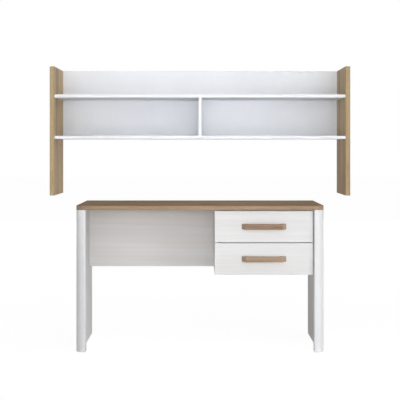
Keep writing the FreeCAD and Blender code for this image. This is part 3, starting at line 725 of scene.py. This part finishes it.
def metal_finish(name, ground, stretch, roughness):
    """Plated metal: faint drawn lines and clouds in its gloss."""
    finish = Finish(name, {"Metallic": 1.0})
    graph = finish.graph
    lines = graph.noise(finish.place, stretch, *LINE_DETAIL)
    clouds = graph.noise(finish.place, *METAL_CLOUDS)
    dull = tuple(DULL_TONE * part for part in ground[:3]) + (1.0,)
    finish.paint(
        graph.mix(graph.ramp(clouds, *DULL_RANGE), ground, dull),
        graph.sum("MULTIPLY_ADD", lines, LINE_ROUGHNESS, roughness),
    )
    finish.emboss(lines, *METAL_RELIEF)
    return finish.material


class STUDENTDESK_OT_fittings(bpy.types.Operator):
    """Finishes the ball runners, cam bolts and hanger plates"""

    bl_idname = "student_desk.fittings"
    bl_label = "Runners and bolts"

    def execute(self, context):
        fittings = context.scene.desk_fittings
        steel = metal_finish("Plated steel strip", fittings.steel, *DRAWN_STRIP)
        for level in LEVELS:
            lay(steel, f"{level}_ball_cages")
            for side in SIDES:
                lay(steel, f"{level}_{side}_case_rail", f"{level}_{side}_drawer_rail")
        for side in SIDES:
            lay(steel, f"hutch_{side}_hanger")
        lay(metal_finish("Plated bolts", fittings.steel, *TURNED_STEEL), *CAM_BOLTS)
        return {"FINISHED"}


# Modelled pieces

# Points nearer than this are one point, in metres
MERGE = 1e-6
# Faces round a turned piece, facets of a handle's rounding, and the angle past which an arris stays sharp
TURN_STEPS = 24
HANDLE_FACETS = 4
SHARP_ANGLE = math.radians(35)
# Rings that tell a fastener's outer end, as shares of its radius
SCREW_END = (0.6, 1.1)
CAM_END = (0.2, 0.5)
# A pan head from the rim of its recess down to its seat, as shares of its radius and its height
PAN_HEAD = ((0.62, 1.0), (0.86, 0.86), (1.0, 0.45), (1.0, 0.0))
# A glide from its nail's sunk head, over the face on the floor, to its seat, as such shares
GLIDE_FOOT = ((0.16, 0.5), (0.2, 1.0), (0.74, 1.0), (0.88, 0.82), (0.97, 0.45), (1.0, 0.0))
# Half width of a cross recess, and how far its floor is drawn in, as shares of its arm
CROSS_WIDTH = 0.26
CROSS_TAPER = 0.72
# Depth of a screw's recess as a share of its head, and its arm as a share of the head's radius
CROSS_DEPTH = 0.7
SCREW_ARM = 0.52
# The arm of a cam disc's cross as a share of its round recess, and the turn from each screw to the next
CAM_ARM = 0.86
SCREW_TURN = 0.83
# What counts as the head in a CAD fastener, and how far a shank narrows at its tip
HEAD_SHARE = 0.7
TIP_SHARE = 0.25


def finish_mesh(name, work, material, node):
    """Turns a bmesh into a finished piece that stands for a CAD node and rides on its body."""
    bmesh.ops.recalc_face_normals(work, faces=work.faces[:])
    for face in work.faces:
        face.smooth = True
    mesh = bpy.data.meshes.new(name)
    work.to_mesh(mesh)
    work.free()
    mesh.set_sharp_from_angle(angle=SHARP_ANGLE)
    mesh.materials.append(material)
    piece = bpy.data.objects.new(name, mesh)
    bpy.context.scene.collection.objects.link(piece)
    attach(piece, frame["nodes"][node]["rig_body"])
    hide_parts(node)


def merged_copy(node):
    """A CAD node's mesh with its loose triangles joined."""
    work = bmesh.new()
    work.from_mesh(frame["nodes"][node].data)
    bmesh.ops.remove_doubles(work, verts=work.verts[:], dist=MERGE)
    return work


def separate_solids(work):
    """The vertices of each separate solid in a mesh."""
    seen = set()
    solids = []
    for start in work.verts:
        if start in seen:
            continue
        seen.add(start)
        solid = [start]
        for vert in solid:
            near = (edge.other_vert(vert) for edge in vert.link_edges)
            fresh = [other for other in near if other not in seen]
            seen.update(fresh)
            solid.extend(fresh)
        solids.append(solid)
    return solids


class RoundSolid:
    """A round fastener of a CAD node: its radius, its place with the outer end up, and its vertices."""

    def __init__(self, verts, axis_size, outer_ring):
        low, high = (Vector([end(vert.co[i] for vert in verts) for i in range(3)]) for end in (min, max))
        size = high - low
        axis = axis_size(range(3), key=lambda i: size[i])
        up = Vector([float(i == axis) for i in range(3)])
        middle = (low + high) / 2
        self.radius = max(size[i] for i in range(3) if i != axis) / 2
        self.top = size[axis] / 2
        for way in (up, -up):
            offsets = [vert.co - middle for vert in verts]
            heights = [offset.dot(way) for offset in offsets]
            reaches = [(offset - offset.project(way)).length for offset in offsets]
            self.points = list(zip(verts, heights, reaches))
            end = [reach / self.radius for _, height, reach in self.points if height > self.top - MERGE]
            if any(outer_ring[0] < share < outer_ring[1] for share in end):
                break
        turn = Vector((0, 0, 1)).rotation_difference(way)
        self.place = Matrix.Translation(middle) @ turn.to_matrix().to_4x4()


def turned(work, profile):
    """Turns a profile of radii and heights, closes its lower end and returns the rim of its upper end."""
    verts = [work.verts.new((radius, 0, height)) for radius, height in profile]
    edges = [work.edges.new(pair) for pair in zip(verts, verts[1:])]
    bmesh.ops.spin(
        work, geom=verts + edges, cent=(0, 0, 0), axis=(0, 0, 1), angle=2 * math.pi, steps=TURN_STEPS,
        use_merge=True,
    )
    top = profile[0][1]
    ends = [edge for edge in work.edges if edge.is_boundary]
    rim = [edge for edge in ends if all(abs(vert.co.z - top) < MERGE for vert in edge.verts)]
    bmesh.ops.edgeloop_fill(work, edges=[edge for edge in ends if edge not in rim])
    return rim


def cross_recess(work, rim, place, top, arm, depth):
    """Closes a round rim with a face that has a tapered cross recess for a driver."""
    half = CROSS_WIDTH * arm
    quarter_outline = [Vector(point) for point in ((arm, -half, top), (arm, half, top), (half, half, top))]
    corners = []
    for quarter in range(4):
        turn = place @ Matrix.Rotation(quarter * math.pi / 2, 4, "Z")
        corners += [turn @ point for point in quarter_outline]
    verts = [work.verts.new(corner) for corner in corners]
    cross = [work.edges.new((vert, after)) for vert, after in zip(verts, verts[1:] + verts[:1])]
    bmesh.ops.bridge_loops(work, edges=rim + cross)
    walls = bmesh.ops.extrude_edge_only(work, edges=cross)["geom"]
    floor = [part for part in walls if isinstance(part, bmesh.types.BMVert)]
    bmesh.ops.scale(work, verts=floor, vec=(CROSS_TAPER, CROSS_TAPER, 1), space=place.inverted())
    bmesh.ops.translate(work, verts=floor, vec=place.to_3x3() @ Vector((0, 0, -depth)))
    edges = [part for part in walls if isinstance(part, bmesh.types.BMEdge)]
    lower = [edge for edge in edges if all(vert in floor for vert in edge.verts)]
    bmesh.ops.edgeloop_fill(work, edges=lower)


def turned_fastener(work, solid, head, arm=0, turn=0):
    """A screw or nailed glide in the space of a CAD solid, with a cross recess where an arm is given."""
    known = set(work.verts)
    seat = min(height for _, height, reach in solid.points if reach > HEAD_SHARE * solid.radius)
    rise = solid.top - seat
    shank = max(reach for _, height, reach in solid.points if height < seat - MERGE)
    profile = [(share * solid.radius, seat + lift * rise) for share, lift in head]
    profile += [(shank, seat), (shank, shank - solid.top), (TIP_SHARE * shank, -solid.top)]
    rim = turned(work, profile)
    if arm:
        cross_recess(work, rim, Matrix.Identity(4), solid.top, arm * solid.radius, CROSS_DEPTH * rise)
    else:
        bmesh.ops.edgeloop_fill(work, edges=rim)
    made = [vert for vert in work.verts if vert not in known]
    bmesh.ops.transform(work, matrix=solid.place @ Matrix.Rotation(turn, 4, "Z"), verts=made)


class STUDENTDESK_OT_screws(bpy.types.Operator):
    """Models the pan-head screws of the case, backs, runners, hangers and handles, with cross recesses"""

    bl_idname = "student_desk.screws"
    bl_label = "Screws"

    def execute(self, context):
        steel = metal_finish("Plated screws", context.scene.desk_fittings.steel, *TURNED_STEEL)
        for node in SCREWS:
            source = merged_copy(node)
            work = bmesh.new()
            for index, verts in enumerate(separate_solids(source)):
                solid = RoundSolid(verts, max, SCREW_END)
                turned_fastener(work, solid, PAN_HEAD, SCREW_ARM, SCREW_TURN * index)
            source.free()
            finish_mesh(f"{node}_cross_head", work, steel, node)
        return {"FINISHED"}


def cam_cross(work, solid):
    """Gives a cam disc a cross recess in place of its round one."""
    recess = min(reach for _, height, reach in solid.points if height > solid.top - MERGE)
    inside = [(vert, solid.top - height) for vert, height, reach in solid.points if reach < recess + MERGE]
    depth = min(deep for _, deep in inside if deep > MERGE)
    floor = [vert for vert, deep in inside if abs(deep - depth) < MERGE]
    bmesh.ops.delete(work, geom=floor, context="VERTS")
    rim = [edge for edge in work.edges if edge.is_boundary]
    cross_recess(work, rim, solid.place, solid.top, CAM_ARM * recess, depth)


class STUDENTDESK_OT_cam_discs(bpy.types.Operator):
    """Models the cross recesses of the cam discs"""

    bl_idname = "student_desk.cam_discs"
    bl_label = "Cam discs"

    def execute(self, context):
        zinc = metal_finish("Cast zinc", context.scene.desk_fittings.zinc, *CAST_ZINC)
        for node in CAM_DISCS:
            work = merged_copy(node)
            for verts in separate_solids(work):
                cam_cross(work, RoundSolid(verts, min, CAM_END))
            finish_mesh(f"{node}_cross", work, zinc, node)
        return {"FINISHED"}


class STUDENTDESK_OT_glides(bpy.types.Operator):
    """Models the round nylon glides that the desk stands on"""

    bl_idname = "student_desk.glides"
    bl_label = "Floor glides"

    def execute(self, context):
        nylon = plain_white_finish("Nylon glide", context.scene.desk_fittings.glide, GLIDE_ROUGHNESS)
        source = merged_copy("floor_glides")
        work = bmesh.new()
        for verts in separate_solids(source):
            turned_fastener(work, RoundSolid(verts, min, SCREW_END), GLIDE_FOOT)
        source.free()
        finish_mesh("nylon_floor_glides", work, nylon, "floor_glides")
        return {"FINISHED"}


def bridge_handle(node, fittings):
    """A bridge handle in its CAD solid's space: its outline raised to its height, with soft arrises."""
    low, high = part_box(node)
    middle = (low.x + high.x) / 2
    half = (high.x - low.x) / 2
    foot = half - fittings.handle_foot
    right = [
        (half - fittings.handle_end_slope, low.y),
        (half, high.y),
        (foot, high.y),
        (foot - fittings.handle_inner_slope, low.y + fittings.handle_bar),
    ]
    left = [(-x, y) for x, y in reversed(right)]
    work = bmesh.new()
    outline = work.faces.new([work.verts.new((middle + x, y, low.z)) for x, y in right + left])
    raised = bmesh.ops.extrude_face_region(work, geom=[outline])["geom"]
    upper = [part for part in raised if isinstance(part, bmesh.types.BMVert)]
    bmesh.ops.translate(work, verts=upper, vec=(0, 0, high.z - low.z))
    bmesh.ops.recalc_face_normals(work, faces=work.faces[:])
    soft = [edge for edge in work.edges if min(vert.co.y for vert in edge.verts) < high.y - MERGE]
    bmesh.ops.bevel(
        work, geom=soft, offset=fittings.handle_round, offset_type="OFFSET", affect="EDGES",
        segments=HANDLE_FACETS, profile=0.5, material=-1,
    )
    return work


class STUDENTDESK_OT_handles(bpy.types.Operator):
    """Models the two oak bridge handles with soft arrises"""

    bl_idname = "student_desk.handles"
    bl_label = "Drawer handles"

    def execute(self, context):
        laminates = context.scene.desk_laminates
        oak = (laminates.handle_light, laminates.handle_middle, laminates.handle_dark)
        # The ends' paler tone is painted light on the handles' side-facing ends
        ends = ("X", laminates.handle_ends_painted_light, EDGING_AND_LIT_END_SHARE)
        for index, level in enumerate(LEVELS):
            node = f"{level}_drawer_handle"
            offset = grain_offset(index + FIRST_HANDLE_PART)
            finish = oak_finish(f"Oak {node}", node, "x", offset, oak, OAK_GLOSS, HANDLE_TINT, ends)
            handle = bridge_handle(node, context.scene.desk_fittings)
            finish_mesh(f"{level}_bridge_handle", handle, finish, node)
        return {"FINISHED"}


# Stage

# Where each lamp stands, the point that it faces, and its width and height, in metres
LAMPS = {
    "Low lamp": ((0.0, -5.0, 0.35), (0.0, 0.0, 0.7), 5.0, 0.6),
    "Middle lamp": ((0.0, -3.4, 2.0), (0.0, 0.0, 0.7), 4.0, 0.8),
    "Hutch lamp": ((0.0, -4.5, 1.25), (0.0, 0.26, 1.25), 1.4, 0.5),
    "Right lamp": ((2.4, -2.6, 0.35), (0.4, -0.2, 0.25), 1.4, 0.4),
    "Back lamp": ((0.0, 9.0, 1.2), (0.0, 0.0, 0.9), 3.0, 1.6),
    "Left lamp": ((-4.5, 1.2, 0.9), (0.0, 0.0, 0.8), 2.0, 1.6),
}
# How far the two narrow lamps open
HUTCH_BEAM = math.radians(30)
RIGHT_BEAM = math.radians(50)
# Width of the camera's sensor, in millimetres, and how pale the floor is as it throws light back
SENSOR_WIDTH = 36
FLOOR_PALE = 0.9


class STUDENTDESK_OT_stage(bpy.types.Operator):
    """Sets the pale floor, the white surround, the soft lamps and the camera"""

    bl_idname = "student_desk.stage"
    bl_label = "Studio stage"

    def execute(self, context):
        stage = context.scene.desk_stage
        context.scene.view_settings.view_transform = "Standard"
        floor_piece(stage)
        surround(context.scene, stage)
        soft_lamp("Low lamp", stage.low_power)
        soft_lamp("Middle lamp", stage.middle_power)
        soft_lamp("Hutch lamp", stage.hutch_power).data.spread = HUTCH_BEAM
        soft_lamp("Right lamp", stage.right_power).data.spread = RIGHT_BEAM
        # These two would shine in the boards at a flat angle
        soft_lamp("Back lamp", stage.back_power).visible_glossy = False
        soft_lamp("Left lamp", stage.left_power).visible_glossy = False
        eye = bpy.data.cameras.new("Eye")
        eye.lens = stage.lens
        eye.sensor_width = SENSOR_WIDTH
        eye.shift_y = stage.drop
        seen = bpy.data.objects.new("Eye", eye)
        desk_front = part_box("desk_top")[0].y
        seen.location = (0, desk_front - stage.eye_distance, stage.eye_height)
        seen.rotation_euler = (math.pi / 2, 0, 0)
        context.scene.collection.objects.link(seen)
        context.scene.camera = seen
        return {"FINISHED"}


def seen_share(graph):
    """1 for rays from the eye and for mirrored and transmitted rays, 0 for rays that carry light."""
    path = graph.add("ShaderNodeLightPath")
    share = graph.sum("MAXIMUM", path.outputs["Is Camera Ray"], path.outputs["Is Glossy Ray"])
    return graph.sum("MAXIMUM", share, path.outputs["Is Transmission Ray"])


def surround(scene, stage):
    """A white surround that lights the object softly from front and right, and looks plain white."""
    world = bpy.data.worlds.new("White surround")
    world.use_nodes = True
    scene.world = world
    world.node_tree.nodes.clear()
    graph = Graph(world.node_tree)
    way = graph.add("ShaderNodeSeparateXYZ")
    graph.feed(way.inputs[0], graph.add("ShaderNodeTexCoord").outputs["Generated"])
    front = graph.sum("MAXIMUM", graph.sum("MULTIPLY", way.outputs["Y"], -1.0), 0.0)
    right = graph.sum("MAXIMUM", way.outputs["X"], 0.0)
    light = graph.sum("MULTIPLY_ADD", front, stage.front_glow, stage.surround)
    light = graph.sum("MULTIPLY_ADD", right, stage.right_glow, light)
    seen = seen_share(graph)
    unseen = graph.sum("SUBTRACT", 1.0, seen)
    level = graph.sum("MULTIPLY_ADD", light, unseen, seen)
    white = graph.add("ShaderNodeBackground", {"Color": (1, 1, 1, 1), "Strength": level})
    output = graph.add("ShaderNodeOutputWorld")
    graph.feed(output.inputs["Surface"], white.outputs[0])


def floor_piece(stage):
    """A wide pale floor that keeps a faint shadow."""
    half = stage.floor_half
    work = bmesh.new()
    bmesh.ops.create_grid(work, x_segments=1, y_segments=1, size=half)
    mesh = bpy.data.meshes.new("Floor")
    work.to_mesh(mesh)
    work.free()
    material = bpy.data.materials.new("Pale floor")
    material.use_nodes = True
    material.node_tree.nodes.clear()
    graph = Graph(material.node_tree)
    seen = seen_share(graph)
    pale = (FLOOR_PALE, FLOOR_PALE, FLOOR_PALE, 1)
    faint = (stage.floor_shading, stage.floor_shading, stage.floor_shading, 1)
    matt = graph.add("ShaderNodeBsdfDiffuse", {"Color": graph.mix(seen, pale, faint)})
    veil = graph.sum("MULTIPLY", seen, stage.floor_veil)
    plain = graph.add("ShaderNodeEmission", {"Color": (1, 1, 1, 1), "Strength": veil})
    both = graph.add("ShaderNodeAddShader")
    graph.feed(both.inputs[0], matt.outputs[0])
    graph.feed(both.inputs[1], plain.outputs[0])
    output = graph.add("ShaderNodeOutputMaterial")
    graph.feed(output.inputs["Surface"], both.outputs[0])
    mesh.materials.append(material)
    floor = bpy.data.objects.new("Floor", mesh)
    bpy.context.scene.collection.objects.link(floor)


def soft_lamp(name, power):
    """A large area lamp that faces a point and isn't seen itself."""
    place, aim, width, height = LAMPS[name]
    lamp = bpy.data.lights.new(name, "AREA")
    lamp.shape = "RECTANGLE"
    lamp.size = width
    lamp.size_y = height
    lamp.energy = power
    held = bpy.data.objects.new(name, lamp)
    held.location = place
    held.rotation_euler = (Vector(aim) - Vector(place)).to_track_quat("-Z", "Y").to_euler()
    held.visible_camera = False
    bpy.context.scene.collection.objects.link(held)
    return held


# Sidebar panel and registration


OPERATORS = (
    STUDENTDESK_OT_oak_boards,
    STUDENTDESK_OT_white_grain_boards,
    STUDENTDESK_OT_shelf_boards,
    STUDENTDESK_OT_hidden_boards,
    STUDENTDESK_OT_fittings,
    STUDENTDESK_OT_screws,
    STUDENTDESK_OT_cam_discs,
    STUDENTDESK_OT_glides,
    STUDENTDESK_OT_handles,
    STUDENTDESK_OT_stage,
)
SETTINGS = {"desk_laminates": DeskLaminates, "desk_fittings": DeskFittings, "desk_stage": DeskStage}


class STUDENTDESK_PT_panel(bpy.types.Panel):
    """Lists the steps that dress the desk, with their settings"""

    bl_idname = "STUDENTDESK_PT_panel"
    bl_label = "Student desk"
    bl_space_type = "VIEW_3D"
    bl_region_type = "UI"
    bl_category = "Student Desk"

    def draw(self, context):
        column = self.layout.column(align=True)
        for operator in OPERATORS:
            column.operator(operator.bl_idname)
        for holder, group in SETTINGS.items():
            box = self.layout.box()
            for name in group.__annotations__:
                box.prop(getattr(context.scene, holder), name)


def register():
    for cls in (*SETTINGS.values(), *OPERATORS, STUDENTDESK_PT_panel):
        bpy.utils.register_class(cls)
    for holder, group in SETTINGS.items():
        setattr(bpy.types.Scene, holder, bpy.props.PointerProperty(type=group))


def unregister():
    for holder in SETTINGS:
        delattr(bpy.types.Scene, holder)
    for cls in (STUDENTDESK_PT_panel, *reversed(OPERATORS), *SETTINGS.values()):
        bpy.utils.unregister_class(cls)


def main():
    register()
    bpy.ops.student_desk.oak_boards()
    bpy.ops.student_desk.white_grain_boards()
    bpy.ops.student_desk.shelf_boards()
    bpy.ops.student_desk.hidden_boards()
    bpy.ops.student_desk.fittings()
    bpy.ops.student_desk.screws()
    bpy.ops.student_desk.cam_discs()
    bpy.ops.student_desk.glides()
    bpy.ops.student_desk.handles()
    bpy.ops.student_desk.stage()


if __name__ == "__main__":
    main()
